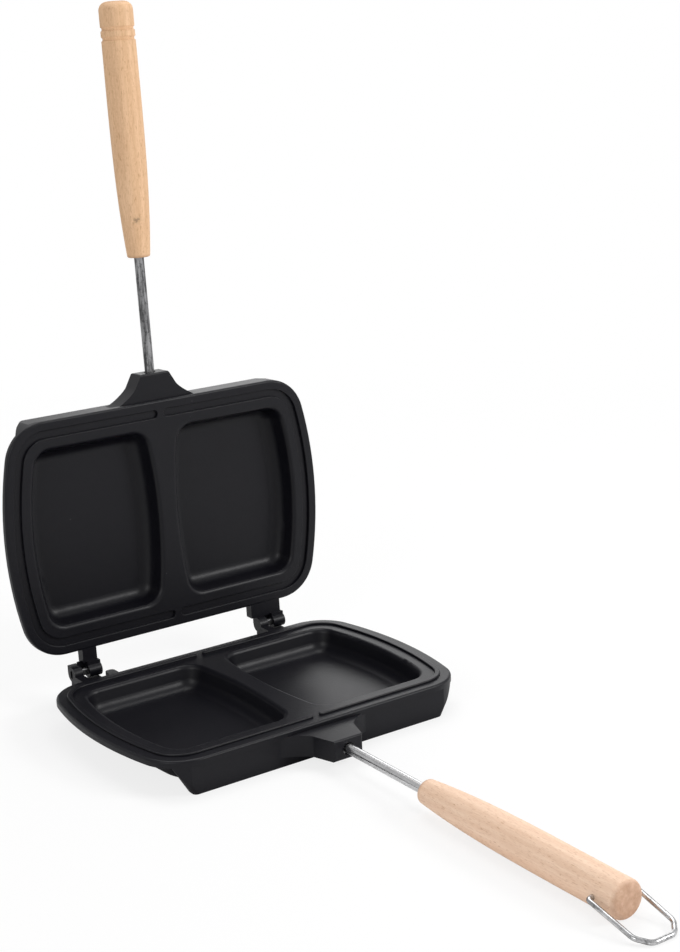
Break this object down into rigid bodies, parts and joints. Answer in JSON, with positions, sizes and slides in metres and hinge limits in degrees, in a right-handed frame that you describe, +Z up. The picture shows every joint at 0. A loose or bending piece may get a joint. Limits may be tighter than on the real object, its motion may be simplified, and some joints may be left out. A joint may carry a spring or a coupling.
{
  "type": "pie iron",
  "caption": "Double pie iron: hinged cast pans with pockets for filled bread, steel rods, turned wooden handles and a wire bail that holds them shut.",
  "frame": {"origin": "middle of the foot under the base pan's front wall", "axes": "+X along the hinge, +Y from the handles to the hinge, +Z up"},
  "size_m": [0.23, 0.488, 0.4347],
  "materials": {
    "casting": "black non-stick coating on cast aluminium, satin",
    "steel": "polished bare steel",
    "wire": "bright plated wire",
    "beech": "smooth unvarnished beech"
  },
  "bodies": {
    "base": {"base_pan": "casting", "left_hinge_pin": "steel", "right_hinge_pin": "steel", "base_rod": "steel", "base_rod_pin": "steel", "base_handle": "beech"},
    "lid": {"lid_pan": "casting", "lid_rod": "steel", "lid_rod_pin": "steel", "lid_handle": "beech"},
    "bail": {"bail": "wire"}
  },
  "joints": [
    {"name": "lid_hinge", "type": "hinge", "parent": "base", "child": "lid", "pos_m": [0, 0.1589, 0.02225], "axis": [1, 0, 0], "range_deg": [0, 93]},
    {"name": "bail_swing", "type": "hinge", "parent": "base", "child": "bail", "pos_m": [0, -0.2469, 0.011], "axis": [-1, 0, 0], "range_deg": [-146, 128]}
  ]
}
